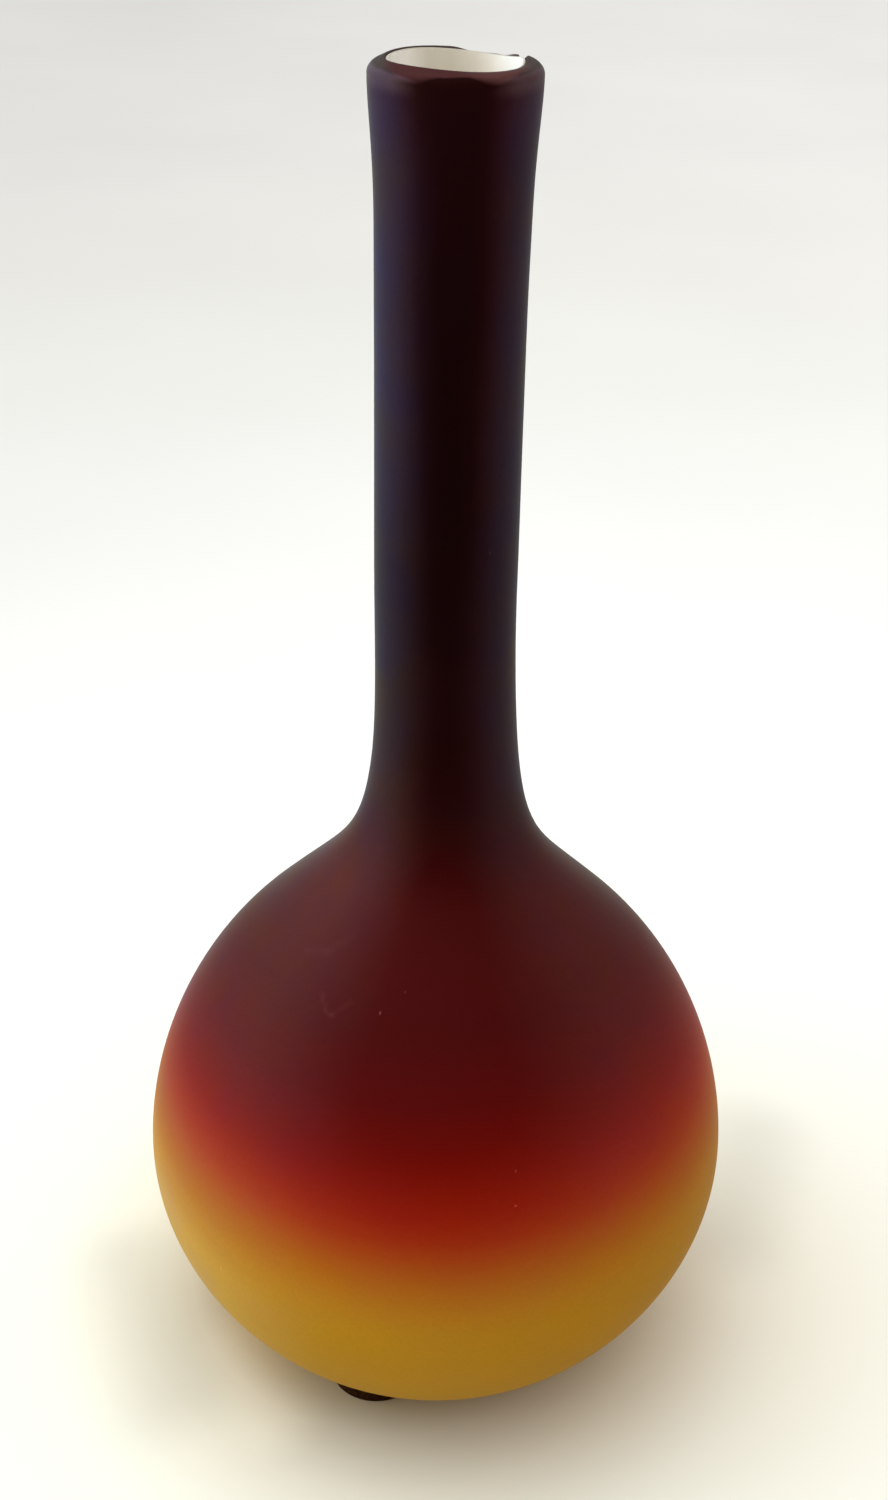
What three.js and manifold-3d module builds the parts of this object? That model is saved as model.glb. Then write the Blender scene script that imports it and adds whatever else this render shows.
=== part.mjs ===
// Stick vase: a blown globe with a long straight neck, in cased glass. A satin coloured casing lies
// over a thin opal lining, and three soft feet lift the ground base off the table.
// Millimetres, +Z up, -Y towards the front. The origin is on the table, under the middle of the globe.
import * as THREE from 'three';
import { mergeVertices } from 'three/addons/utils/BufferGeometryUtils.js';
import Module from 'manifold-3d';

// Heights, each measured up from the one before it
const BASE_LIFT = 1.7; // table to the ground base
const WIDEST_RISE = 38.5; // ground base to the widest ring of the globe
const SHOULDER_RISE = 39.9; // widest ring to the steepest point of the shoulder
const NECK_ROOT_RISE = 63.8; // shoulder to the end of the sweep into the neck
const WAIST_RISE = 42.1; // neck root to the slimmest ring of the neck
const LIP_RISE = 28.0; // waist to the widest ring of the lip
const LIP_ROUND = 2.0; // widest ring of the lip to its crown

// Radii of the outside
const BASE_RADIUS = 20.7;
const GLOBE_RADIUS = 49.2;
const SHOULDER_RADIUS = 32.4;
const NECK_ROOT_RADIUS = 10.3;
const WAIST_RADIUS = 10.1;
const LIP_RADIUS = 11.0;

// Directions in which the outside runs, and how far it holds them before it bends to the next one
const BASE_SLOPE_DEG = 18; // rise of the underside where it leaves the ground base
const SHOULDER_LEAN_DEG = 43; // lean of the shoulder from upright
const BASE_HOLD = 17.2;
const WIDEST_HOLD_BELOW = 15.6;
const WIDEST_HOLD_ABOVE = 5.2;
const SHOULDER_HOLD_BELOW = 22.8;
const SHOULDER_HOLD_ABOVE = 29.3;
const NECK_ROOT_HOLD_BELOW = 44.3;
const NECK_ROOT_HOLD_ABOVE = 16.0;
const WAIST_HOLD = 20.0;
const LIP_HOLD = 6.0;

// Glass walls
const CASING_WALL = 1.8;
const CASING_FLOOR = 3.2; // glass between the ground base and the lining
const LINING_WALL = 1.3;
const LINING_FLOOR = 1.6;
const SEAM_GAP = 0.3; // between the casing and the lining
const LINING_DROP = 0.2; // crown of the lip down to the edge of the lining
const INNER_EDGE_ROUND = 0.4; // on the casing's inner edge at the mouth

// Polished dimple where the pontil rod was broken off
const DIMPLE_RADIUS = 11.0;
const DIMPLE_DEPTH = 1.0;

// The lip isn't quite square to the neck: its right side sits lower
const LIP_TILT_DEG = 2.0;
const LIP_TILT_REACH = 30.0; // length of neck, down from the crown, over which the tilt fades out

// Soft feet, moulded to the underside of the globe
const FOOT_DIAMETER = 14.0;
const FOOT_CIRCLE_RADIUS = 24.0;
const FOOT_FIRST_BEARING_DEG = -26.0; // from the front, to the right
const FOOT_GAP = 0.3; // between a foot and the glass
const FOOT_NAMES = ['foot_front', 'foot_right', 'foot_rear'];

// Fineness of the meshes
const TURN_STEPS = 40;
const FOOT_STEPS = 24;
const WALL_STEPS = [8, 6, 8, 3, 4]; // along the five stretches of the wall, from base to lip
const EDGE_STEPS = 4;
const MERGE_DISTANCE = 1e-3;

const BASE_HEIGHT = BASE_LIFT;
const WIDEST_HEIGHT = BASE_HEIGHT + WIDEST_RISE;
const SHOULDER_HEIGHT = WIDEST_HEIGHT + SHOULDER_RISE;
const NECK_ROOT_HEIGHT = SHOULDER_HEIGHT + NECK_ROOT_RISE;
const WAIST_HEIGHT = NECK_ROOT_HEIGHT + WAIST_RISE;
const LIP_HEIGHT = WAIST_HEIGHT + LIP_RISE;
const CROWN_HEIGHT = LIP_HEIGHT + LIP_ROUND;

// A station is a point of the outside with the direction in which the outside runs there.
function station(radius, height, leanDeg, holdBefore, holdAfter) {
  const lean = THREE.MathUtils.degToRad(leanDeg);
  return {
    point: new THREE.Vector2(radius, height),
    along: new THREE.Vector2(-Math.sin(lean), Math.cos(lean)),
    holdBefore,
    holdAfter,
  };
}

const STATIONS = [
  station(BASE_RADIUS, BASE_HEIGHT, BASE_SLOPE_DEG - 90, 0, BASE_HOLD),
  station(GLOBE_RADIUS, WIDEST_HEIGHT, 0, WIDEST_HOLD_BELOW, WIDEST_HOLD_ABOVE),
  station(SHOULDER_RADIUS, SHOULDER_HEIGHT, SHOULDER_LEAN_DEG, SHOULDER_HOLD_BELOW, SHOULDER_HOLD_ABOVE),
  station(NECK_ROOT_RADIUS, NECK_ROOT_HEIGHT, 0, NECK_ROOT_HOLD_BELOW, NECK_ROOT_HOLD_ABOVE),
  station(WAIST_RADIUS, WAIST_HEIGHT, 0, WAIST_HOLD, WAIST_HOLD),
  station(LIP_RADIUS, LIP_HEIGHT, 0, LIP_HOLD, 0),
];

// The outside wall from the ground base to the lip's widest ring, moved inwards by depth (or outwards
// by a negative one), as points of radius and height.
function wall(depth) {
  const points = [];
  for (let i = 0; i + 1 < STATIONS.length; i += 1) {
    const [low, high] = [STATIONS[i], STATIONS[i + 1]];
    const curve = new THREE.CubicBezierCurve(
      low.point,
      low.point.clone().addScaledVector(low.along, low.holdAfter),
      high.point.clone().addScaledVector(high.along, -high.holdBefore),
      high.point,
    );
    for (let step = i === 0 ? 0 : 1; step <= WALL_STEPS[i]; step += 1) {
      const t = step / WALL_STEPS[i];
      const along = curve.getTangent(t);
      points.push(curve.getPoint(t).add(new THREE.Vector2(-along.y, along.x).multiplyScalar(depth)));
    }
  }
  return points;
}

// The part of an inner wall that stands above a flat floor, with the floor's edge and its centre.
function onFloor(points, floorHeight) {
  const first = points.findIndex((point) => point.y > floorHeight);
  const [below, above] = [points[Math.max(first - 1, 0)], points[first]];
  const t = (floorHeight - below.y) / (above.y - below.y);
  const edge = first > 0 ? below.clone().lerp(above, t) : new THREE.Vector2(above.x, floorHeight);
  return [new THREE.Vector2(0, floorHeight), edge, ...points.slice(first)];
}

// A quarter of an ellipse between two of its four outermost points.
function quarter(centreRadius, centreHeight, halfWidth, halfHeight, fromDeg, toDeg) {
  const [from, to] = [fromDeg, toDeg].map(THREE.MathUtils.degToRad);
  const arc = new THREE.EllipseCurve(centreRadius, centreHeight, halfWidth, halfHeight, from, to, to < from);
  return arc.getPoints(EDGE_STEPS);
}

// The polished dimple in the underside, as deep as a parabola from its centre to its edge.
function dimple() {
  return Array.from({ length: EDGE_STEPS + 1 }, (_, step) => {
    const share = step / EDGE_STEPS;
    return new THREE.Vector2(DIMPLE_RADIUS * share, BASE_HEIGHT + DIMPLE_DEPTH * (1 - share * share));
  });
}

// Turns a closed outline about the upright axis, then lets the lip sink on its right side.
function blow(outline) {
  const glass = new THREE.LatheGeometry(outline, TURN_STEPS).rotateX(Math.PI / 2);
  const position = glass.attributes.position;
  const tilt = Math.tan(THREE.MathUtils.degToRad(LIP_TILT_DEG));
  for (let i = 0; i < position.count; i += 1) {
    const height = position.getZ(i);
    const share = THREE.MathUtils.smoothstep(height, CROWN_HEIGHT - LIP_TILT_REACH, CROWN_HEIGHT);
    position.setZ(i, height - position.getX(i) * tilt * share);
  }
  return glass;
}

// Coloured casing: dimple, ground ring, outside, rounded lip, inside and floor.
function casing() {
  const innerRadius = LIP_RADIUS - CASING_WALL;
  const innerEdge = innerRadius + INNER_EDGE_ROUND;
  const inside = onFloor(wall(CASING_WALL), BASE_HEIGHT + CASING_FLOOR);
  return blow([
    ...dimple(),
    ...wall(0),
    ...quarter(innerEdge, LIP_HEIGHT, LIP_RADIUS - innerEdge, LIP_ROUND, 0, 90).slice(1),
    ...quarter(innerEdge, CROWN_HEIGHT - INNER_EDGE_ROUND, INNER_EDGE_ROUND, INNER_EDGE_ROUND, 90, 180).slice(1),
    ...inside.reverse(),
  ]);
}

// Opal lining: the same shape one seam gap further in, with its edge rounded over into the bore.
function lining() {
  const outside = CASING_WALL + SEAM_GAP;
  const inside = outside + LINING_WALL;
  const floor = BASE_HEIGHT + CASING_FLOOR + SEAM_GAP;
  const outerRadius = LIP_RADIUS - outside;
  const edgeHeight = CROWN_HEIGHT - LINING_DROP - LINING_WALL;
  return blow([
    ...onFloor(wall(outside), floor),
    new THREE.Vector2(outerRadius, edgeHeight + LINING_WALL),
    ...quarter(outerRadius, edgeHeight, LINING_WALL, LINING_WALL, 90, 180).slice(1),
    ...onFloor(wall(inside), floor + LINING_FLOOR).reverse(),
  ]);
}

const wasm = await Module();
wasm.setup();

function toSolid(geometry) {
  const bare = geometry.clone();
  bare.deleteAttribute('normal');
  bare.deleteAttribute('uv');
  const merged = mergeVertices(bare, MERGE_DISTANCE);
  return new wasm.Manifold(new wasm.Mesh({
    numProp: 3,
    vertProperties: new Float32Array(merged.attributes.position.array),
    triVerts: new Uint32Array(merged.index.array),
  }));
}

function toGeometry(solid) {
  const mesh = solid.getMesh();
  const geometry = new THREE.BufferGeometry();
  geometry.setAttribute('position', new THREE.BufferAttribute(mesh.vertProperties, 3));
  geometry.setIndex(new THREE.BufferAttribute(mesh.triVerts, 1));
  geometry.computeVertexNormals();
  return geometry;
}

// The room that the globe takes above the feet: its outside, one foot gap further out, and solid.
function globeRoom() {
  const outside = wall(-FOOT_GAP);
  const top = outside.findIndex((point) => point.y > WIDEST_HEIGHT);
  return toSolid(new THREE.LatheGeometry([
    new THREE.Vector2(0, BASE_HEIGHT - FOOT_GAP),
    new THREE.Vector2(BASE_RADIUS, BASE_HEIGHT - FOOT_GAP),
    ...outside.slice(0, top),
    new THREE.Vector2(0, outside[top - 1].y),
  ], TURN_STEPS).rotateX(Math.PI / 2));
}

// A soft foot: a round peg from the table up into the globe's room, cut to the globe.
function foot(room, bearing) {
  const peg = new THREE.CylinderGeometry(FOOT_DIAMETER / 2, FOOT_DIAMETER / 2, WIDEST_HEIGHT / 2, FOOT_STEPS);
  peg.rotateX(Math.PI / 2);
  peg.translate(
    FOOT_CIRCLE_RADIUS * Math.sin(bearing),
    -FOOT_CIRCLE_RADIUS * Math.cos(bearing),
    WIDEST_HEIGHT / 4,
  );
  return toGeometry(toSolid(peg).subtract(room));
}

const vase = new THREE.Group();

function add(name, geometry, colour, roughness) {
  const mesh = new THREE.Mesh(geometry, new THREE.MeshStandardMaterial({ color: colour, roughness, metalness: 0 }));
  mesh.name = name;
  vase.add(mesh);
}

add('outer_casing', casing(), 0x6b1410, 0.45);
add('opal_lining', lining(), 0xf1ece0, 0.2);

const room = globeRoom();
FOOT_NAMES.forEach((name, i) => {
  const bearing = THREE.MathUtils.degToRad(FOOT_FIRST_BEARING_DEG + (360 * i) / FOOT_NAMES.length);
  add(name, foot(room, bearing), 0x24160f, 0.9);
});

export default vase;
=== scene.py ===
import bpy
import numpy as np
from mathutils import Matrix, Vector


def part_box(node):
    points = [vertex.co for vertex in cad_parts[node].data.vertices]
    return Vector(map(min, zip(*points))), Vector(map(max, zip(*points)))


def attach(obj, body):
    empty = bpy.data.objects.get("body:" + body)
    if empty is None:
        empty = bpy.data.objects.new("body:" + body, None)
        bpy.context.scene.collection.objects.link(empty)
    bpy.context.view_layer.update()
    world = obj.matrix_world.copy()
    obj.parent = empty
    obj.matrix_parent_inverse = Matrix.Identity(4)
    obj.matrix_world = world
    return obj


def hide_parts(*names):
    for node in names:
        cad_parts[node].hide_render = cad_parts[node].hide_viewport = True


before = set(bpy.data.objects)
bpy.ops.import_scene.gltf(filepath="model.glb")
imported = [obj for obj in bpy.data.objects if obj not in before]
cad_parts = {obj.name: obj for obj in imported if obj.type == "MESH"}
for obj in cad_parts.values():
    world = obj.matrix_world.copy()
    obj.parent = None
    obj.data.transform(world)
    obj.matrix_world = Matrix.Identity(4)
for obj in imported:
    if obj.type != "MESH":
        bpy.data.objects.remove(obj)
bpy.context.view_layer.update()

# Opal lining: the first gather of glass, blown to a globe with a long straight neck. It is thin white
# opal glass that the coloured casing covers, and its edge is melted round where the neck was cut off.
MM = 0.001  # the sizes below are millimetres, and the meshes are in metres

# The outside of the glass passes through these stations. Each leans in from upright by so many degrees
# there, and holds that direction for so long before and after.
BASE = dict(radius=20.7, height=1.7, lean=-72.0, before=0.0, after=17.2)
WIDEST = dict(radius=49.2, height=40.2, lean=0.0, before=15.6, after=5.2)
SHOULDER = dict(radius=32.4, height=80.1, lean=43.0, before=22.8, after=29.3)
NECK_ROOT = dict(radius=10.3, height=143.9, lean=0.0, before=44.3, after=16.0)
WAIST = dict(radius=10.1, height=186.0, lean=0.0, before=20.0, after=20.0)
LIP = dict(radius=11.0, height=214.0, lean=0.0, before=6.0, after=0.0)
STATIONS = (BASE, WIDEST, SHOULDER, NECK_ROOT, WAIST, LIP)
CROWN_HEIGHT = 216.0

CASING_WALL = 1.8
CASING_FLOOR = 3.2
LINING_INSIDE = 3.4  # from the outside of the casing to the bore
LINING_FLOOR = 1.6
LINING_EDGE = 0.35  # thickness of the lining at its melted edge
LINING_DROP = 0.2  # crown of the casing's lip down to the edge of the lining
FUSED_GAP = 0.02
SEAM_NIP = 0.57  # the seam between the two glasses closes in by this at the lip
MOUTH_START = 204.0  # the seam begins to close in, and the bore to widen, at this height

# What the maker's hand left. Each ring is a hair oval: times round, share of the radius, turn with height.
# The neck sways to the right by a shift between two heights, and back again. Its radius swells in that way.
OVAL = ((2, 0.0014, 0.03), (3, 0.0007, -0.05))
SWAY = ((74.0, 106.0, 0.40), (112.0, 145.0, -0.40), (185.0, 200.0, 0.08))
SWELL = (
    (84.0, 94.0, -0.05),
    (100.0, 114.0, 0.12),
    (120.0, 140.0, -0.04),
    (155.0, 175.0, 0.05),
    (190.0, 204.0, -0.12),
    (209.0, 215.0, 0.06),
)
SWELL_CALM = 5.0  # it swells less within this of the axis

# The lip is higher by so much all round, at the right, at the front and three times round: first its
# outside, then the mouth.
LIP_START = 212.0
LIP_RISE = (0.0, 0.05, 0.04, 0.0)
MOUTH_RISE = (0.06, -0.30, 0.17, -0.12)
MOUTH_EDGE = (9.8, 8.6)  # radii between which the lip's outside turns into the mouth
MOUTH_BUMP = (97.0, 20.0, 0.42)  # bearing, half width in degrees and height of a drop left on the mouth
MOUTH_DRIFT = (-0.04, 0.38)  # the mouth lies this far to the right of the lip's middle, and behind it
LIP_WAVES = (0.03, 3, 1.0)  # height of soft waves round the lip, times round, and where they begin

TURNS = 240
FINE = (60, 44, 70, 30, 30)  # rows of faces along the five stretches between the stations
COARSE = (20, 16, 24, 8, 12)
FLOOR_RINGS = 9
FLOOR_CLEAR = 0.05  # no ring of the wall lies nearer to the floor than this
EDGE_ROWS = 16


def wall(depth, rows):
    """Points (radius, height) of the outside moved inwards by depth. Between stations A and B they lie on
    (1-t)^3 A + 3 (1-t)^2 t (A + a) + 3 (1-t) t^2 (B - b) + t^3 B, with a and b the held directions."""
    stretches = []
    for low, high, count in zip(STATIONS, STATIONS[1:], rows):
        ends = []
        for place in (low, high):
            lean = np.radians(place["lean"])
            along = np.array([-np.sin(lean), np.cos(lean)])
            ends.append((np.array([place["radius"], place["height"]]), along))
        (start, leaving), (end, arriving) = ends
        handle = start + leaving * low["after"]
        other = end - arriving * high["before"]
        t = np.linspace(0, 1, count + 1)[:, None]
        point = (1 - t) ** 3 * start + 3 * (1 - t) ** 2 * t * handle
        point += 3 * (1 - t) * t**2 * other + t**3 * end
        slope = (1 - t) ** 2 * (handle - start) + 2 * (1 - t) * t * (other - handle) + t**2 * (end - other)
        slope /= np.linalg.norm(slope, axis=1, keepdims=True)
        inwards = np.stack([-slope[:, 1], slope[:, 0]], axis=1)
        stretches.append((point + inwards * depth)[0 if low is BASE else 1 :])
    return np.concatenate(stretches)


def smooth(value, low, high):
    """0 below low, 1 above high, and t^2 (3 - 2 t) between them."""
    t = np.clip((value - low) / (high - low), 0, 1)
    return t * t * (3 - 2 * t)


def seam(depth, rows):
    """The wall at a depth, drawn in towards the bore at the lip, where the glass was sheared and melted."""
    points = wall(depth, rows)
    points[:, 0] -= SEAM_NIP * smooth(points[:, 1], MOUTH_START, LIP["height"])
    return points


def bore(rows):
    """The inside of the lining, which widens towards the mouth and thins the lining to its edge."""
    points = wall(LINING_INSIDE, rows)
    widening = LINING_INSIDE - CASING_WALL - FUSED_GAP - SEAM_NIP - LINING_EDGE
    points[:, 0] += widening * smooth(points[:, 1], MOUTH_START, LIP["height"])
    return points


def on_floor(points, height):
    """The part of an inner wall above a flat floor, from the axis out to the wall and up."""
    edge = np.interp(height, points[:, 1], points[:, 0])
    floor = np.linspace(0, 1, FLOOR_RINGS)[:, None] * [edge, 0] + [0, height]
    return np.concatenate([floor, points[points[:, 1] > height + FLOOR_CLEAR]])


def arc(centre, half_width, half_height, start, end, steps=8):
    """Points (radius + half width cos a, height + half height sin a) round a centre, with a in degrees."""
    angle = np.radians(np.linspace(start, end, steps + 1))
    return np.array(centre) + np.stack([half_width * np.cos(angle), half_height * np.sin(angle)], axis=1)


def hand_blown(radius, height, bearing):
    """What the maker's hand leaves in the shape, in mm, at bearing b and height h: oval rings, radius times
    1 + share cos(times b + turn h), a neck that sways and swells, and a lip higher by all + right sin b
    + front cos b + third sin 3 b, with other values for its outside than for the mouth, and by a drop
    exp(-(angle / half width)^2)."""
    oval = sum(share * np.cos(times * bearing + turn * height) for times, share, turn in OVAL)
    swell = sum(shift * smooth(height, start, end) for start, end, shift in SWELL)
    out = (radius + swell * smooth(radius, 0, SWELL_CALM)) * (1 + oval)
    x = out * np.sin(bearing) + sum(shift * smooth(height, start, end) for start, end, shift in SWAY)
    y = -out * np.cos(bearing)
    lip = smooth(height, LIP_START, CROWN_HEIGHT)
    mouth = smooth(-radius, -MOUTH_EDGE[0], -MOUTH_EDGE[1])
    rises = [outer + (inner - outer) * mouth for outer, inner in zip(LIP_RISE, MOUTH_RISE)]
    level, right, front, third = rises
    rise = level + right * np.sin(bearing) + front * np.cos(bearing) + third * np.sin(3 * bearing)
    wave, times, first = LIP_WAVES
    rise = rise + wave * np.sin(times * bearing + first)
    middle, half_width, drop = MOUTH_BUMP
    rise = rise + drop * mouth * np.exp(-(((np.degrees(bearing) - middle) / half_width) ** 2))
    return x + lip * mouth * MOUTH_DRIFT[0], y + lip * mouth * MOUTH_DRIFT[1], height + lip * rise


def closed_piece(name, x, y, z, bottom, top):
    """A closed mesh from rows of rings in mm, with a middle point below the first ring and above the last."""
    rings, turns = x.shape
    corners = np.concatenate([np.stack([x, y, z], axis=2).reshape(-1, 3), [bottom, top]]) * MM
    number = np.arange(rings * turns).reshape(rings, turns)
    after = np.roll(number, -1, axis=1)
    quads = np.stack([number[:-1], after[:-1], after[1:], number[1:]], axis=2).reshape(-1, 4)
    below = np.stack([after[0], number[0], np.full(turns, rings * turns)], axis=1)
    above = np.stack([number[-1], after[-1], np.full(turns, rings * turns + 1)], axis=1)
    mesh = bpy.data.meshes.new(name)
    mesh.from_pydata(corners.tolist(), [], quads.tolist() + below.tolist() + above.tolist())
    mesh.shade_smooth()
    piece = bpy.data.objects.new(name, mesh)
    bpy.context.scene.collection.objects.link(piece)
    return piece


def turned(name, outline, settle=None):
    """A piece of glass: the outline, from the axis at the bottom round to the axis again, carried round the
    upright axis by bearing b from the front, x = r sin b and y = -r cos b, then shaped by hand_blown."""
    bearing = np.arange(TURNS)[None, :] * 2 * np.pi / TURNS
    radius = np.repeat(outline[1:-1, :1], TURNS, axis=1)
    height = np.repeat(outline[1:-1, 1:], TURNS, axis=1)
    if settle:
        height = settle(radius, height, bearing)
    x, y, z = hand_blown(radius, height, bearing)
    return closed_piece(name, x, y, z, (0, 0, outline[0, 1]), (0, 0, outline[-1, 1]))


def node(tree, kind, inputs=(), **settings):
    """Adds one shader node, sets its properties, and gives each named input a value or another's output."""
    made = tree.nodes.new("ShaderNode" + kind)
    for name, value in settings.items():
        setattr(made, name, value)
    for name, value in dict(inputs).items():
        if isinstance(value, bpy.types.NodeSocket):
            tree.links.new(value, made.inputs[name])
        else:
            made.inputs[name].default_value = value
    return made


def ramp(tree, value, stops):
    """The colour that a value takes between stops (value, colour)."""
    made = node(tree, "ValToRGB", {"Fac": value})
    elements = made.color_ramp.elements
    while len(elements) < len(stops):
        elements.new(1.0)
    for element, (position, colour) in zip(elements, stops):
        element.position = position
        element.color = (*colour, 1)
    return made.outputs["Color"]


def material(name):
    """A new material with its node tree, its Principled shader and its Object coordinates."""
    made = bpy.data.materials.new(name)
    made.use_nodes = True
    tree = made.node_tree
    return made, tree, tree.nodes["Principled BSDF"], node(tree, "TexCoord").outputs["Object"]


def dress(piece, finish, slot, *nodes):
    """Gives a piece its material, hangs it from the root body and hides the CAD nodes that it stands for."""
    piece.data.materials.append(finish)
    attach(piece, "root")
    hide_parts(*nodes)


def lining_outline():
    """Underside, outside, melted edge, bore and floor of the lining."""
    outside = CASING_WALL + FUSED_GAP
    floor = BASE["height"] + CASING_FLOOR + FUSED_GAP
    edge = LINING_EDGE / 2
    middle = LIP["radius"] - outside - SEAM_NIP - edge
    return np.concatenate([
        on_floor(seam(outside, COARSE), floor),
        arc((middle, CROWN_HEIGHT - LINING_DROP - edge), edge, edge, 0, 180, EDGE_ROWS),
        on_floor(bore(COARSE), floor + LINING_FLOOR)[::-1],
    ])


# Opal colours, by place from the left to the right, with painted shade and light: cream in the middle, front
# and back, and white at both sides, colder at the left and warmer at the right. The edge is painted darker, a
# painted shade. A grain is the scale and the detail of a noise.
OPAL_HALF = 10.0
OPAL_TONES_AND_SHADE = (
    (-8.0, (0.970, 0.970, 0.950)),
    (-6.0, (0.940, 0.930, 0.890)),
    (-4.5, (0.810, 0.770, 0.685)),
    (-3.0, (0.700, 0.645, 0.545)),
    (-0.5, (0.675, 0.605, 0.495)),
    (2.5, (0.755, 0.655, 0.540)),
    (4.6, (0.860, 0.755, 0.640)),
    (6.0, (0.970, 0.870, 0.765)),
    (8.0, (0.980, 0.920, 0.830)),
)
OPAL_TOP_SHADE = (0.44, 0.39, 0.31, 1)
OPAL_EDGE_FACING = (0.1, 0.8)  # painted shade goes on what faces up, the edge and the floor
OPAL_WAVER = 1.0  # the colours wander to the left and right by this
OPAL_GRAIN = (150.0, 2.0)
OPAL_ROUGHNESS = 0.18


def band(tree, value, limits, scale=MM):
    """0 below the first limit and 1 above the second, with a smooth step between them."""
    levels = {"Value": value, "From Min": limits[0] * scale, "From Max": limits[1] * scale}
    return node(tree, "MapRange", levels, interpolation_type="SMOOTHSTEP").outputs["Result"]


def blend(tree, share, first, second, kind="MIX"):
    """A mix of two colours; each may be a colour or another node's output."""
    made = node(tree, "Mix", {"Factor": share}, data_type="RGBA", blend_type=kind)
    for side, colour in ((6, first), (7, second)):
        if isinstance(colour, bpy.types.NodeSocket):
            tree.links.new(colour, made.inputs[side])
        else:
            made.inputs[side].default_value = colour
    return made.outputs[2]


def math(tree, operation, *values, **settings):
    """One Math node's result."""
    return node(tree, "Math", dict(enumerate(values)), operation=operation, **settings).outputs[0]


def vector_math(tree, operation, *vectors, **scale):
    """One Vector Math node's result, a vector or a number."""
    made = node(tree, "VectorMath", {**dict(enumerate(vectors)), **scale}, operation=operation)
    return made.outputs["Value" if operation in ("DOT_PRODUCT", "DISTANCE", "LENGTH") else "Vector"]


def noise(tree, place, grain, low, high):
    """Noise over the surface, between about low and high."""
    scale, detail = grain
    made = node(tree, "TexNoise", {"Vector": place, "Scale": scale, "Detail": detail}).outputs["Fac"]
    return node(tree, "MapRange", {"Value": made, "To Min": low, "To Max": high}).outputs["Result"]


def opal_white():
    """Opal glass: milky white and fire-polished to a gloss, with painted shade and light: cream in the
    middle, white at the sides, and darker where its edge and its floor face up.
    """
    finish, tree, shader, place = material("opal_white")
    sideways = node(tree, "SeparateXYZ", {"Vector": place}).outputs["X"]
    waver = noise(tree, place, OPAL_GRAIN, -OPAL_WAVER * MM, OPAL_WAVER * MM)
    sideways = math(tree, "ADD", sideways, waver)
    share = math(tree, "MULTIPLY_ADD", sideways, 0.5 / (OPAL_HALF * MM), 0.5)
    colour = ramp(tree, share, [(0.5 + 0.5 * x / OPAL_HALF, tone) for x, tone in OPAL_TONES_AND_SHADE])
    facing = node(tree, "SeparateXYZ", {"Vector": node(tree, "TexCoord").outputs["Normal"]}).outputs["Z"]
    colour = blend(tree, band(tree, facing, OPAL_EDGE_FACING, 1.0), colour, OPAL_TOP_SHADE)
    tree.links.new(colour, shader.inputs["Base Color"])
    shader.inputs["Roughness"].default_value = OPAL_ROUGHNESS
    return finish


lining = turned("white_lining", lining_outline())
dress(lining, opal_white(), "lining_glass", "opal_lining")

# Coloured casing: a second gather over the lining, amber glass that was struck to red and near black by
# heating the top again. It is etched to a satin skin, its lip is melted round and its base is ground flat.
DIMPLE_RADIUS = 11.0
DIMPLE_DEPTH = 1.0
BASE_ROUND = 0.4
INNER_EDGE_ROUND = 0.4
LIP_ROUND = 1.56
LIP_ROWS = 20

# Where the casing's lip lies lower than the edge of the lining: bearing, half width in degrees, depth. Then a
# nick across the back of it: place from the middle to the right, half width, depth.
LOW_LIP = ((155.5, 21.0, 0.60), (130.0, 14.0, 0.26))
LIP_NICK = (8.4, 0.4, 0.75)
NICK_BEHIND = (1.0, 3.0)  # places behind the middle from which the nick is cut, and is full
LOW_LIP_START = 212.5  # nothing below this height is lowered


def casing_outline():
    """Polished dimple, ground ring, outside, lip, and the inside down to the floor."""
    share = np.linspace(0, 1, FLOOR_RINGS)[:, None]
    dimple = np.concatenate([DIMPLE_RADIUS * share, BASE["height"] + DIMPLE_DEPTH * (1 - share**2)], axis=1)
    ring = np.array([[BASE["radius"] - BASE_ROUND, BASE["height"]]])
    inner = LIP["radius"] - CASING_WALL - SEAM_NIP
    edge = inner + INNER_EDGE_ROUND
    return np.concatenate([
        dimple,
        ring,
        wall(0, FINE)[1:],
        arc((edge, CROWN_HEIGHT - LIP_ROUND), LIP["radius"] - edge, LIP_ROUND, 0, 90, LIP_ROWS),
        arc((edge, CROWN_HEIGHT - INNER_EDGE_ROUND), INNER_EDGE_ROUND, INNER_EDGE_ROUND, 90, 180)[1:],
        on_floor(seam(CASING_WALL, COARSE), BASE["height"] + CASING_FLOOR)[::-1],
    ])


def uneven_lip(radius, height, bearing):
    """Height less depth exp(-(distance / half width)^4) at each low place, fading out below the lip."""
    fade = smooth(height, LOW_LIP_START, CROWN_HEIGHT)
    low = sum(depth * np.exp(-(((np.degrees(bearing) - at) / half) ** 4)) for at, half, depth in LOW_LIP)
    at, half, depth = LIP_NICK
    behind = smooth(-radius * np.cos(bearing), *NICK_BEHIND)
    low = low + depth * behind * np.exp(-(((radius * np.sin(bearing) - at) / half) ** 4))
    return height - fade * low


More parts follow.
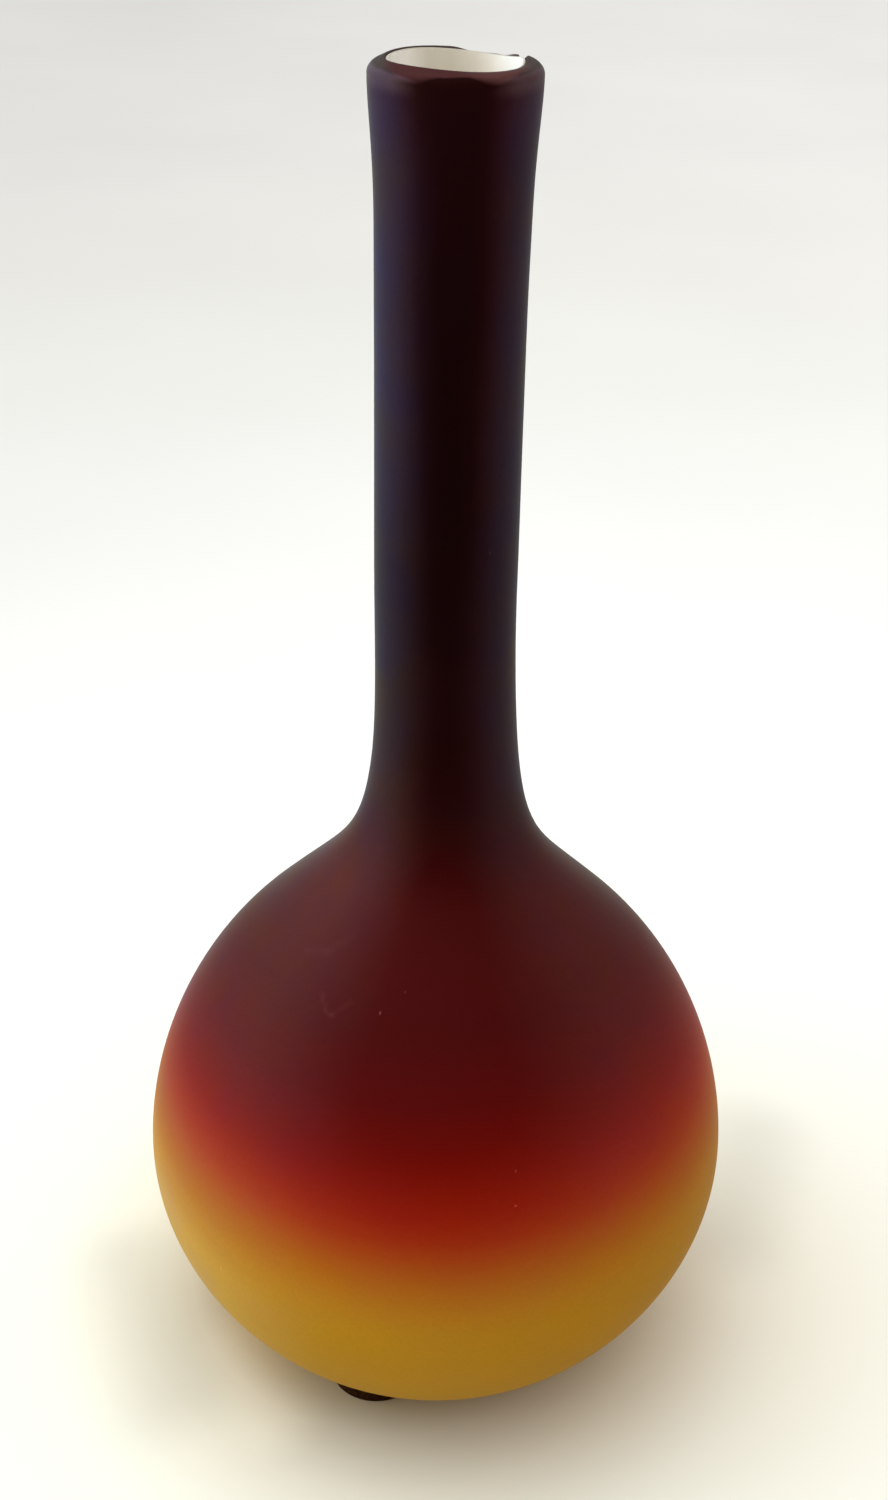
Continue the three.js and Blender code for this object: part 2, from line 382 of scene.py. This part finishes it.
# Colour of the casing by height above the table
STRUCK = (
    (18.0, (0.345, 0.1500, 0.0015)),
    (36.0, (0.355, 0.1480, 0.0015)),
    (41.0, (0.357, 0.1450, 0.0020)),
    (44.0, (0.353, 0.1340, 0.0025)),
    (47.0, (0.350, 0.1150, 0.0025)),
    (50.0, (0.331, 0.0850, 0.0020)),
    (53.0, (0.315, 0.0580, 0.0010)),
    (56.0, (0.299, 0.0325, 0.0010)),
    (59.0, (0.271, 0.0135, 0.0003)),
    (62.0, (0.232, 0.0060, 0.0001)),
    (65.0, (0.188, 0.0045, 0.0003)),
    (68.0, (0.146, 0.0030, 0.0006)),
    (71.0, (0.112, 0.0023, 0.0010)),
    (76.0, (0.0745, 0.0022, 0.0018)),
    (83.0, (0.0545, 0.0025, 0.0024)),
    (90.0, (0.0545, 0.0030, 0.0028)),
    (97.0, (0.0485, 0.0028, 0.0026)),
    (106.0, (0.0250, 0.0006, 0.0003)),
    (112.0, (0.0132, 0.0002, 0.0001)),
    (122.0, (0.0070, 0.0001, 0.0001)),
    (145.0, (0.0040, 0.0001, 0.0001)),
    (175.0, (0.0058, 0.0002, 0.0002)),
    (212.0, (0.0098, 0.0007, 0.0012)),
    (216.0, (0.0120, 0.0010, 0.0008)),
)

# The crown of the lip, where the glass is thin, is brown red with painted light from above on it, and painted
# lighter still at the right. Between two places left and right of the middle that reaches lower. At the sides
# and behind the crown is greyer.
LIP_RED = (0.058, 0.0155, 0.0155, 1)
LIP_LIT_RIGHT = (0.092, 0.034, 0.033, 1)
LIP_REDDENS = (0.0, 5.0)  # from the middle to the right
LIP_LIT = (215.62, 215.85)
LIP_FADE = 0.9  # the most that it reaches lower
LIP_FADES = (1.5, 8.5)
LIP_SIDE = (0.057, 0.043, 0.037, 1)
LIP_SIDES = (7.0, 9.8)  # from the middle to each side or back
LIP_TOP = (215.2, 215.85)

# The bands of colour aren't level. The amber reaches up at both sides by its curl times the square of
# x / radius, and the dark reaches down at the left and up at the right by its tilt times x / radius.
AMBER_CURL = 2.0
AMBER_SAG = 0.6  # and the amber lies lower at the front by this
AMBER_END = (56.0, 66.0)
DARK_TILT = 1.9
DARK_LEVEL = 0.15  # the tilt leaves the dark level this share of the radius left of the middle
DARK_START = (58.0, 72.0)  # the tilt sets in between these heights, and ends between the next two
DARK_END = (84.0, 98.0)

# Bloom and sheen: the pale veil that the etched skin shows at a slant, painted into the colour as a sheen by
# 1 - cos(slant). On the globe its tint goes by height, and above the amber it is greyer at the edge; on the
# neck it is violet.
VEIL = (
    (0.04, (0.0, 0.0, 0.0)),
    (0.12, (0.38, 0.38, 0.38)),
    (0.20, (0.72, 0.72, 0.72)),
    (0.30, (0.96, 0.96, 0.96)),
    (0.42, (1.0, 1.0, 1.0)),
    (0.90, (1.0, 1.0, 1.0)),
    (1.00, (0.9, 1.1, 1.6)),
)
EDGE_VEIL = (
    (0.54, (0.000, 0.000, 0.000)),
    (0.66, (0.002, 0.002, 0.001)),
    (0.76, (0.007, 0.008, 0.005)),
    (0.85, (0.016, 0.020, 0.016)),
    (0.93, (0.028, 0.040, 0.036)),
    (1.00, (0.036, 0.056, 0.050)),
)
EDGE_VEIL_START = (50.0, 68.0)
VEIL_TINT = (
    (50.0, (0.0440, 0.0360, 0.0060)),
    (66.0, (0.0165, 0.0093, 0.0083)),
    (100.0, (0.0135, 0.0092, 0.0087)),
)
NECK_VEIL = (
    (0.06, (0.0, 0.0, 0.0)),
    (0.12, (0.0030, 0.0001, 0.0002)),
    (0.20, (0.0100, 0.0030, 0.0044)),
    (0.30, (0.0146, 0.0074, 0.0115)),
    (0.42, (0.0186, 0.0118, 0.0175)),
    (0.56, (0.0238, 0.0172, 0.0240)),
    (0.72, (0.0330, 0.0270, 0.0310)),
    (0.85, (0.0460, 0.0440, 0.0450)),
    (1.00, (0.0600, 0.0600, 0.0600)),
)
NECK_TINT = (
    (100.0, (1.0, 0.85, 0.75)),
    (150.0, (1.0, 0.90, 0.80)),
    (172.0, (1.0, 1.0, 1.0)),
    (205.0, (1.0, 1.0, 1.0)),
    (213.0, (1.25, 1.10, 1.40)),
)
NECK_VEIL_START = (100.0, 120.0)
NECK_VEIL_END = (214.4, 214.9)
NECK_VEIL_RISE = 0.9  # at the sides it ends higher by this

# Round the lip the painted sheen shows at less of a slant
LIP_VEIL = (
    (0.10, (0.0, 0.0, 0.0)),
    (0.20, (0.018, 0.012, 0.011)),
    (0.32, (0.030, 0.021, 0.020)),
    (0.45, (0.026, 0.018, 0.017)),
    (0.60, (0.028, 0.020, 0.018)),
)
LIP_VEIL_START = (212.8, 214.6)
LIP_VEIL_SIDES = (1.5, 7.5)  # from the middle, where there is none, to each side
COVER = 0.38  # the most that the painted sheen hides of the colour under it, above the amber, painted darker at a slant
COVER_SLANT = (0.35, 1.1)
COVER_START = (56.0, 76.0)
COVER_LEFT = 12.5  # on the left it begins lower by this

# Painted light from the left: that side has some more of the pale veil, by height
LEFT_PAINTED_LIGHT = (
    (18.0, (0.096, 0.095, 0.045)),
    (30.0, (0.092, 0.090, 0.044)),
    (36.0, (0.088, 0.076, 0.040)),
    (40.0, (0.082, 0.068, 0.039)),
    (45.0, (0.034, 0.026, 0.022)),
    (50.0, (0.000, 0.005, 0.011)),
    (66.0, (0.000, 0.000, 0.000)),
    (88.0, (0.002, 0.003, 0.002)),
    (98.0, (0.014, 0.005, 0.003)),
    (104.0, (0.012, 0.005, 0.004)),
    (120.0, (0.002, 0.003, 0.000)),
    (150.0, (0.000, 0.003, 0.004)),
    (172.0, (0.005, 0.006, 0.009)),
    (205.0, (0.004, 0.005, 0.0085)),
    (214.0, (0.000, 0.002, 0.001)),
)
LEFT_SIDE = (0.3, 0.95)  # how far the skin faces left, from where this begins to where it is full
LEFT_WIDER = 0.2  # higher up it begins, and is full, sooner by this
LEFT_WIDENS = (66.0, 90.0)

# The bands of colour wobble up and down by this, and hardly above CALM_LIP. A finer wobble makes the lower
# edge of the lit crown ragged.
WOBBLE = 0.8
WOBBLE_GRAIN = (30.0, 2.0)
CALM_LIP = (200.0, 210.0)
CALM_SHARE = 0.05  # the share of the wobble that is left there
RAGGED = 0.12
RAGGED_GRAIN = (450.0, 1.0)

# Marks in the skin, each a stroke from (bearing, height) to (bearing, height), with its half width and how
# pale it is: pinholes first, then two scuffs on the left shoulder. Those behind the vase are guessed.
MARKS = (
    ((16.8, 67.6), (16.8, 67.8), 0.21, 0.8),
    ((16.1, 63.0), (15.9, 63.0), 0.23, 1.4),
    ((-18.6, 85.6), (-18.6, 85.8), 0.23, 1.3),
    ((-11.7, 88.4), (-11.6, 88.5), 0.22, 0.8),
    ((-43.0, 41.1), (-43.0, 41.9), 0.22, 1.3),
    ((35.8, 153.4), (35.8, 153.6), 0.20, 0.4),
    ((118.0, 58.0), (118.0, 58.1), 0.21, 0.9),
    ((171.0, 71.0), (171.2, 71.0), 0.22, 0.8),
    ((-128.0, 92.0), (-128.0, 92.2), 0.22, 0.6),
    ((-152.0, 47.0), (-152.0, 47.4), 0.22, 1.0),
    ((203.0, 160.0), (203.0, 160.2), 0.20, 0.4),
    ((-39.8, 85.2), (-36.5, 84.0), 0.9, 0.06),
    ((-36.5, 84.0), (-33.6, 83.8), 0.8, 0.08),
    ((-33.6, 83.8), (-29.2, 85.8), 0.9, 0.06),
    ((-56.0, 88.0), (-47.0, 89.5), 1.0, 0.05),
    ((-47.0, 89.5), (-40.0, 92.5), 1.2, 0.04),
)
MARK_COLOUR = (0.130, 0.045, 0.038)
MARK_BROKEN = (-0.6, 2.2)  # the marks are broken up by a grain between these strengths
MARK_GRAIN = (900.0, 2.0)
MOTTLE = 0.03  # how much the slant at which the bloom shows wanders
MOTTLE_GRAIN = (70.0, 3.0)
BLOOM_SHEEN_DRIFT = ((0.35, (1.09, 1.03, 0.86)), (0.65, (0.88, 0.93, 1.28)))  # between warm grey and violet
DRIFT_GRAIN = (110.0, 3.0)
ETCH = (0.91, 1.09)  # the fine grain of the etched skin is darker and paler by this
ETCH_GRAIN = (1800.0, 3.0)
SKIN_GRAIN = (5000.0, 2.0)  # the roughness that can be felt is finer still
SKIN_STRENGTH = 0.1
SKIN_DEPTH = 0.02
SATIN_ROUGHNESS = 0.5
SATIN_IOR = 1.08  # an etched skin shines little
SLANT_BLEND = 0.5  # with this the shader's slant is 1 - cos(slant)


def spot(bearing, height):
    """The point of the outside at a bearing and a height, in metres."""
    glass = wall(0, FINE)
    radius = np.interp(height, glass[:, 1], glass[:, 0])
    turn = np.radians(bearing)
    return np.array([radius * np.sin(turn), -radius * np.cos(turn), height]) * MM


def stroke_group():
    """Shader node group: how near a place is to the line from Start by Along, 1 on it and 0 at Half Width."""
    tree = bpy.data.node_groups.new("stroke", "ShaderNodeTree")
    for name in ("Place", "Start", "Along"):
        tree.interface.new_socket(name, in_out="INPUT", socket_type="NodeSocketVector")
    tree.interface.new_socket("Half Width", in_out="INPUT", socket_type="NodeSocketFloat")
    tree.interface.new_socket("Mask", in_out="OUTPUT", socket_type="NodeSocketFloat")
    given = tree.nodes.new("NodeGroupInput").outputs
    offset = vector_math(tree, "SUBTRACT", given["Place"], given["Start"])
    ahead = vector_math(tree, "DOT_PRODUCT", offset, given["Along"])
    whole = vector_math(tree, "DOT_PRODUCT", given["Along"], given["Along"])
    share = math(tree, "DIVIDE", ahead, whole, use_clamp=True)
    gap = vector_math(tree, "DISTANCE", offset, vector_math(tree, "SCALE", given["Along"], Scale=share))
    limits = {"Value": gap, "From Min": 0.0, "From Max": given["Half Width"], "To Min": 1.0, "To Max": 0.0}
    mask = node(tree, "MapRange", limits, interpolation_type="SMOOTHSTEP").outputs["Result"]
    tree.links.new(mask, tree.nodes.new("NodeGroupOutput").inputs["Mask"])
    return tree


stroke = stroke_group()


def stroke_mask(tree, place, start, end, half_width):
    """The mask of one stroke, from a start to an end in metres, with its half width in mm."""
    line = {"Place": place, "Start": start, "Along": end - start, "Half Width": half_width * MM}
    return node(tree, "Group", line, node_tree=stroke).outputs["Mask"]


def by_height(stops):
    """The stops of a ramp over the share of the crown's height."""
    return [(level / CROWN_HEIGHT, colour) for level, colour in stops]


def bloom_and_sheen_group():
    """Shader node group: the colour of the veil, a painted sheen, from a share of the crown's height, a
    slant, the distance from the middle to either side, how far the skin faces left, for painted light from
    the left, and a drift between warm grey and violet."""
    tree = bpy.data.node_groups.new("bloom_and_sheen", "ShaderNodeTree")
    for name in ("Height", "Slant", "Sideways", "Leftward", "Drift"):
        tree.interface.new_socket(name, in_out="INPUT", socket_type="NodeSocketFloat")
    tree.interface.new_socket("Veil", in_out="OUTPUT", socket_type="NodeSocketColor")
    given = tree.nodes.new("NodeGroupInput").outputs
    tint = ramp(tree, given["Height"], by_height(VEIL_TINT))
    globe = blend(tree, 1.0, ramp(tree, given["Slant"], VEIL), tint, "MULTIPLY")
    above = band(tree, given["Height"], EDGE_VEIL_START, 1 / CROWN_HEIGHT)
    globe = blend(tree, above, globe, ramp(tree, given["Slant"], EDGE_VEIL), "ADD")
    tint = ramp(tree, given["Height"], by_height(NECK_TINT))
    neck = blend(tree, 1.0, ramp(tree, given["Slant"], NECK_VEIL), tint, "MULTIPLY")
    aside = band(tree, given["Sideways"], LIP_VEIL_SIDES)
    lip = math(tree, "MULTIPLY", band(tree, given["Height"], LIP_VEIL_START, 1 / CROWN_HEIGHT), aside)
    neck = blend(tree, lip, neck, ramp(tree, given["Slant"], LIP_VEIL), "ADD")
    veil = blend(tree, band(tree, given["Height"], NECK_VEIL_START, 1 / CROWN_HEIGHT), globe, neck)
    wider = math(tree, "MULTIPLY", band(tree, given["Height"], LEFT_WIDENS, 1 / CROWN_HEIGHT), LEFT_WIDER)
    left = band(tree, math(tree, "ADD", given["Leftward"], wider), LEFT_SIDE, 1.0)
    veil = blend(tree, left, veil, ramp(tree, given["Height"], by_height(LEFT_PAINTED_LIGHT)), "ADD")
    veil = blend(tree, 1.0, veil, ramp(tree, given["Drift"], BLOOM_SHEEN_DRIFT), "MULTIPLY")
    crown = math(tree, "MULTIPLY_ADD", aside, -NECK_VEIL_RISE / CROWN_HEIGHT, given["Height"])
    veil = blend(tree, band(tree, crown, NECK_VEIL_END, 1 / CROWN_HEIGHT), veil, (0, 0, 0, 1))
    tree.links.new(veil, tree.nodes.new("NodeGroupOutput").inputs["Veil"])
    return tree


def struck_height(tree, place):
    """The height whose colour a place has: its own, less the curl and the tilt of the bands, plus wobble."""
    axes = node(tree, "SeparateXYZ", {"Vector": place}).outputs
    height = axes["Z"]
    across = math(tree, "DIVIDE", axes["X"], WIDEST["radius"] * MM)
    squared = math(tree, "MULTIPLY", across, across)
    curl = math(tree, "MULTIPLY_ADD", squared, -AMBER_CURL * MM, AMBER_SAG * MM)
    curl = math(tree, "MULTIPLY", curl, math(tree, "SUBTRACT", 1.0, band(tree, height, AMBER_END)))
    within = math(tree, "SUBTRACT", band(tree, height, DARK_START), band(tree, height, DARK_END))
    tilt = math(tree, "MULTIPLY_ADD", across, -DARK_TILT * MM, -DARK_TILT * DARK_LEVEL * MM)
    tilt = math(tree, "MULTIPLY", tilt, within)
    calm = math(tree, "SUBTRACT", 1.0 + CALM_SHARE, band(tree, height, CALM_LIP))
    wobble = math(tree, "MULTIPLY", noise(tree, place, WOBBLE_GRAIN, -WOBBLE * MM, WOBBLE * MM), calm)
    ragged = noise(tree, place, RAGGED_GRAIN, -RAGGED * MM, RAGGED * MM)
    for shift in (curl, tilt, wobble, ragged):
        height = math(tree, "ADD", height, shift)
    return height


def lit_lip(tree, colour, height, axes):
    """The colour with the lip's crown over it, painted light on thin glass. Its lower edge lies lower by the
    fade times 4 s (1 - s), with s from 0 to 1 between two places left and right of the middle."""
    sideways = math(tree, "ABSOLUTE", axes["X"])
    aside = band(tree, sideways, LIP_FADES)
    reach = math(tree, "MULTIPLY", aside, math(tree, "SUBTRACT", 4.0, math(tree, "MULTIPLY", aside, 4.0)))
    start = math(tree, "MULTIPLY_ADD", reach, -LIP_FADE * MM, LIP_LIT[0] * MM)
    limits = {"Value": height, "From Min": start, "From Max": LIP_LIT[1] * MM}
    lit = node(tree, "MapRange", limits, interpolation_type="SMOOTHSTEP").outputs["Result"]
    crown = blend(tree, band(tree, axes["X"], LIP_REDDENS), LIP_RED, LIP_LIT_RIGHT)
    away = math(tree, "ADD", sideways, math(tree, "MAXIMUM", axes["Y"], 0.0))
    grey = math(tree, "MULTIPLY", band(tree, away, LIP_SIDES), band(tree, height, LIP_TOP))
    return blend(tree, grey, blend(tree, lit, colour, crown), LIP_SIDE)


def paleness(tree, place):
    """How pale the marks make a place: each stroke's mask times its strength, added up and broken up."""
    pale = 0.0
    for start, end, half_width, strength in MARKS:
        mask = stroke_mask(tree, place, spot(*start), spot(*end), half_width)
        pale = math(tree, "MULTIPLY_ADD", mask, strength, pale)
    broken = math(tree, "MAXIMUM", noise(tree, place, MARK_GRAIN, *MARK_BROKEN), 0.0)
    return math(tree, "MULTIPLY", pale, broken)


def satin_casing():
    """Etched casing: its colour follows the height, with a lit lip and a sheen painted in, painted light on
    the left, a few marks and a fine grain.
    """
    finish, tree, shader, place = material("satin_casing")
    axes = node(tree, "SeparateXYZ", {"Vector": place}).outputs
    height = struck_height(tree, place)
    share = math(tree, "DIVIDE", height, CROWN_HEIGHT * MM)
    colour = lit_lip(tree, ramp(tree, share, by_height(STRUCK)), height, axes)
    slant = node(tree, "LayerWeight", {"Blend": SLANT_BLEND}).outputs["Facing"]
    facing = node(tree, "SeparateXYZ", {"Vector": node(tree, "TexCoord").outputs["Normal"]}).outputs["X"]
    left = math(tree, "MULTIPLY", facing, -1.0)
    higher = math(tree, "MULTIPLY_ADD", math(tree, "MAXIMUM", left, 0.0), COVER_LEFT * MM, height)
    cover = math(tree, "MULTIPLY", band(tree, slant, COVER_SLANT, 1.0), band(tree, higher, COVER_START))
    colour = blend(tree, math(tree, "MULTIPLY", cover, COVER), colour, (0, 0, 0, 1))
    given = {
        "Height": share,
        "Slant": math(tree, "ADD", slant, noise(tree, place, MOTTLE_GRAIN, -MOTTLE, MOTTLE)),
        "Sideways": math(tree, "ABSOLUTE", axes["X"]),
        "Leftward": left,
        "Drift": noise(tree, place, DRIFT_GRAIN, 0.0, 1.0),
    }
    veil = node(tree, "Group", given, node_tree=bloom_and_sheen_group()).outputs["Veil"]
    colour = blend(tree, 1.0, colour, veil, "ADD")
    colour = vector_math(tree, "SCALE", colour, Scale=noise(tree, place, ETCH_GRAIN, *ETCH))
    marks = vector_math(tree, "SCALE", MARK_COLOUR, Scale=paleness(tree, place))
    tree.links.new(blend(tree, 1.0, colour, marks, "ADD"), shader.inputs["Base Color"])
    grain = noise(tree, place, SKIN_GRAIN, 0.0, 1.0)
    skin = {"Height": grain, "Strength": SKIN_STRENGTH, "Distance": SKIN_DEPTH * MM}
    tree.links.new(node(tree, "Bump", skin).outputs["Normal"], shader.inputs["Normal"])
    shader.inputs["Roughness"].default_value = SATIN_ROUGHNESS
    shader.inputs["IOR"].default_value = SATIN_IOR
    return finish


casing = turned("satin_casing", casing_outline(), uneven_lip)
dress(casing, satin_casing(), "casing_glass", "outer_casing")

# Soft feet: three pads of dark brown rubber, pressed on under the globe so that the ground base doesn't
# touch the table. Each is moulded to the glass above it and flat below.
FOOT_NODES = ("foot_front", "foot_right", "foot_rear")
FOOT_ROWS = 14
FOOT_RINGS = 6
FOOT_TURNS = 72
FOOT_FLAT = 0.95  # share of the radius that lies flat on the table
FOOT_BULGE = (1.16, 1.04)  # pressed out by the weight, more from left to right than from front to back
FOOT_SLIP = (0.75, 0.13)  # and pushed aside a little, to the right and back
RUBBER = ((0.40, (0.012, 0.0020, 0.0002)), (0.75, (0.045, 0.0150, 0.0030)))  # from dark brown to the crumbs
RUBBER_GRAIN = (1400.0, 3.0)
RUBBER_STRENGTH = 0.5
RUBBER_DEPTH = 0.2
RUBBER_ROUGHNESS = 0.85
RUBBER_IOR = 1.1


def foot_pad(name):
    """A pad about its own upright axis: rings run from the middle of the underside out to the edge, up the
    bulged side and in again over the top, and the top takes the height of the globe above each point."""
    low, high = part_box(name)
    centre = (low[0] + high[0]) / 2 / MM + FOOT_SLIP[0], (low[1] + high[1]) / 2 / MM + FOOT_SLIP[1]
    across, along = [(high[axis] - low[axis]) / 2 / MM * FOOT_BULGE[axis] for axis in (0, 1)]
    flat = np.linspace(0, FOOT_FLAT, FOOT_RINGS)[1:]
    side = np.radians(np.linspace(-90, 90, FOOT_ROWS))
    out = np.concatenate([flat, FOOT_FLAT + (1 - FOOT_FLAT) * np.cos(side)[1:-1], flat[::-1]])
    up = np.concatenate([0 * flat, 0.5 + 0.5 * np.sin(side)[1:-1], 0 * flat + 1])
    angle = np.arange(FOOT_TURNS) * 2 * np.pi / FOOT_TURNS
    x = centre[0] + across * out[:, None] * np.sin(angle)
    y = centre[1] - along * out[:, None] * np.cos(angle)
    glass = wall(0, FINE)
    globe = glass[glass[:, 1] < WIDEST["height"]]
    roof = np.interp(np.hypot(x, y), globe[:, 0], globe[:, 1]) - FUSED_GAP
    middle = np.interp(np.hypot(centre[0], centre[1]), globe[:, 0], globe[:, 1]) - FUSED_GAP
    return closed_piece(name + "_pad", x, y, up[:, None] * roof, (*centre, 0), (*centre, middle))


def soft_rubber():
    """Dark brown rubber, grainy and dull, with paler crumbs in it."""
    finish, tree, shader, place = material("soft_rubber")
    crumbs = noise(tree, place, RUBBER_GRAIN, 0.0, 1.0)
    tree.links.new(ramp(tree, crumbs, RUBBER), shader.inputs["Base Color"])
    grains = {"Height": crumbs, "Strength": RUBBER_STRENGTH, "Distance": RUBBER_DEPTH * MM}
    tree.links.new(node(tree, "Bump", grains).outputs["Normal"], shader.inputs["Normal"])
    shader.inputs["Roughness"].default_value = RUBBER_ROUGHNESS
    shader.inputs["IOR"].default_value = RUBBER_IOR
    return finish


rubber = soft_rubber()
for foot in FOOT_NODES:
    dress(foot_pad(foot), rubber, "foot_rubber", foot)

# Floor: a pale sheet, wide enough to fill the picture, that keeps the vase's shadow. It isn't part
# of the vase. Seen straight it has painted shade: a painted shadow under the vase, just under white near the
# vase and light grey farther away.
FLOOR_HALF = 4.0
PAPER = (0.66, 0.66, 0.66, 1)  # the tone that lights the vase

# The tone that shows, by metres from the middle of the shade: a painted shadow, dark and warm close under the
# vase, and painted shade farther off; it is darker at the left than at the right, painted shade too
PAPER_AND_SHADE_TONES = (
    (0.000, (0.420, 0.270, 0.120)),
    (0.030, (0.430, 0.290, 0.140)),
    (0.034, (0.540, 0.430, 0.290)),
    (0.040, (0.690, 0.610, 0.475)),
    (0.050, (0.800, 0.745, 0.620)),
    (0.065, (0.810, 0.790, 0.700)),
    (0.100, (0.800, 0.785, 0.715)),
    (0.220, (0.760, 0.730, 0.700)),
    (0.360, (0.690, 0.665, 0.635)),
    (0.500, (0.640, 0.615, 0.580)),
    (0.660, (0.610, 0.580, 0.550)),
    (0.950, (0.585, 0.555, 0.530)),
    (1.400, (0.560, 0.530, 0.510)),
)
SHADE_MIDDLE = (-0.007, 0.003, 0.0)
PAPER_SIDES = (-0.25, 0.25)
PAPER_SIDE_SHADE = (0.94, 1.06)
PAPER_CLOUD = (0.95, 1.05)
PAPER_GRAIN = (5.0, 2.0)
PAPER_ROUGHNESS = 0.9
PAPER_GLOSS = 0.1

# Pools of painted shade, where it is deeper or paler than that: from (x, y) to (x, y) in mm, with half width
# and strength
PAINTED_SHADE_POOLS = (
    ((-58.0, 2.0), (-46.0, -28.0), 15.0, -0.15),
    ((66.0, 38.0), (58.0, 12.0), 17.0, -0.13),
    ((-34.0, -16.0), (-27.0, -32.0), 11.0, 0.16),
)


def seen_straight(tree):
    """1 for what the camera sees, straight or in a reflection, and 0 for what lights the vase."""
    path = node(tree, "LightPath").outputs
    seen = math(tree, "MAXIMUM", path["Is Camera Ray"], path["Is Glossy Ray"])
    return math(tree, "MAXIMUM", seen, path["Is Transmission Ray"])


def paper_with_painted_shade():
    """Paper with painted shade: the tone by distance, times its share by side, a cloud, and 1 + strength in
    each pool.
    """
    finish, tree, shader, place = material("paper_with_painted_shade")
    away = math(tree, "DIVIDE", vector_math(tree, "DISTANCE", place, SHADE_MIDDLE), PAPER_AND_SHADE_TONES[-1][0])
    tones = ramp(tree, away, [(far / PAPER_AND_SHADE_TONES[-1][0], tone) for far, tone in PAPER_AND_SHADE_TONES])
    sideways = {"Value": node(tree, "SeparateXYZ", {"Vector": place}).outputs["X"]}
    sideways |= dict(zip(("From Min", "From Max", "To Min", "To Max"), PAPER_SIDES + PAPER_SIDE_SHADE))
    cloud = noise(tree, place, PAPER_GRAIN, *PAPER_CLOUD)
    strength = math(tree, "MULTIPLY", node(tree, "MapRange", sideways).outputs["Result"], cloud)
    for start, end, half_width, deeper in PAINTED_SHADE_POOLS:
        start, end = [np.array([*point, 0]) * MM for point in (start, end)]
        pool = stroke_mask(tree, place, start, end, half_width)
        strength = math(tree, "MULTIPLY", strength, math(tree, "MULTIPLY_ADD", pool, deeper, 1.0))
    tones = vector_math(tree, "SCALE", tones, Scale=strength)
    tree.links.new(blend(tree, seen_straight(tree), PAPER, tones), shader.inputs["Base Color"])
    shader.inputs["Roughness"].default_value = PAPER_ROUGHNESS
    shader.inputs["Specular IOR Level"].default_value = PAPER_GLOSS
    return finish


floor_mesh = bpy.data.meshes.new("floor")
corners = [(x * FLOOR_HALF, y * FLOOR_HALF, 0) for x, y in ((-1, -1), (1, -1), (1, 1), (-1, 1))]
floor_mesh.from_pydata(corners, [], [(0, 1, 2, 3)])
floor_mesh.materials.append(paper_with_painted_shade())
floor = bpy.data.objects.new("floor", floor_mesh)
bpy.context.scene.collection.objects.link(floor)

# Light: a plain soft room. It is even all round, with a broad glow overhead and a cooler, window-wide
# glow to the left.
ROOM = (0.58, 0.54, 0.49)
ROOM_SLOPE = 0.05  # brighter to the right by this

# Each glow: where its middle is, how sharp it is, and its colour
GLOWS = (
    ((-0.15, 0.15, 1.0), 6.0, (2.5, 2.5, 2.4)),
    ((-1.0, 0.0, 0.1), 3.0, (2.05, 3.0, 3.75)),
)
BACKDROP = (0.86, 0.86, 0.85, 1)

world = bpy.data.worlds.new("studio")
bpy.context.scene.world = world
world.use_nodes = True
tree = world.node_tree
direction = node(tree, "TexCoord").outputs["Generated"]
slope = vector_math(tree, "DOT_PRODUCT", direction, (ROOM_SLOPE, 0, 0))
light = vector_math(tree, "ADD", ROOM, slope)
for middle, sharpness, colour in GLOWS:
    glow = vector_math(tree, "DOT_PRODUCT", direction, tuple(np.array(middle) / np.linalg.norm(middle)))
    glow = math(tree, "POWER", math(tree, "MAXIMUM", glow, 0.0), sharpness)
    light = vector_math(tree, "ADD", light, vector_math(tree, "SCALE", colour, Scale=glow))
backdrop = blend(tree, seen_straight(tree), light, BACKDROP)
tree.links.new(backdrop, tree.nodes["Background"].inputs["Color"])

# Camera: close to the vase and well above its middle, looking down at it and rolled a little. Its sensor
# spans the picture's height.
CAMERA_PLACE = (0.000187, -0.22532, 0.25593)
CAMERA_PITCH = 31.79  # below the horizon
CAMERA_ROLL = 1.0594
CAMERA_NEAREST = 0.01
SENSOR = 36.0
LENS = 41.59

camera_data = bpy.data.cameras.new("camera")
camera_data.sensor_width = SENSOR
camera_data.lens = LENS
camera_data.clip_start = CAMERA_NEAREST
camera = bpy.data.objects.new("camera", camera_data)
bpy.context.scene.collection.objects.link(camera)
pitch = Matrix.Rotation(np.radians(90 - CAMERA_PITCH), 4, "X")
roll = Matrix.Rotation(np.radians(CAMERA_ROLL), 4, "Z")
camera.matrix_world = Matrix.Translation(CAMERA_PLACE) @ pitch @ roll
bpy.context.scene.camera = camera
bpy.context.scene.view_settings.view_transform = "Standard"
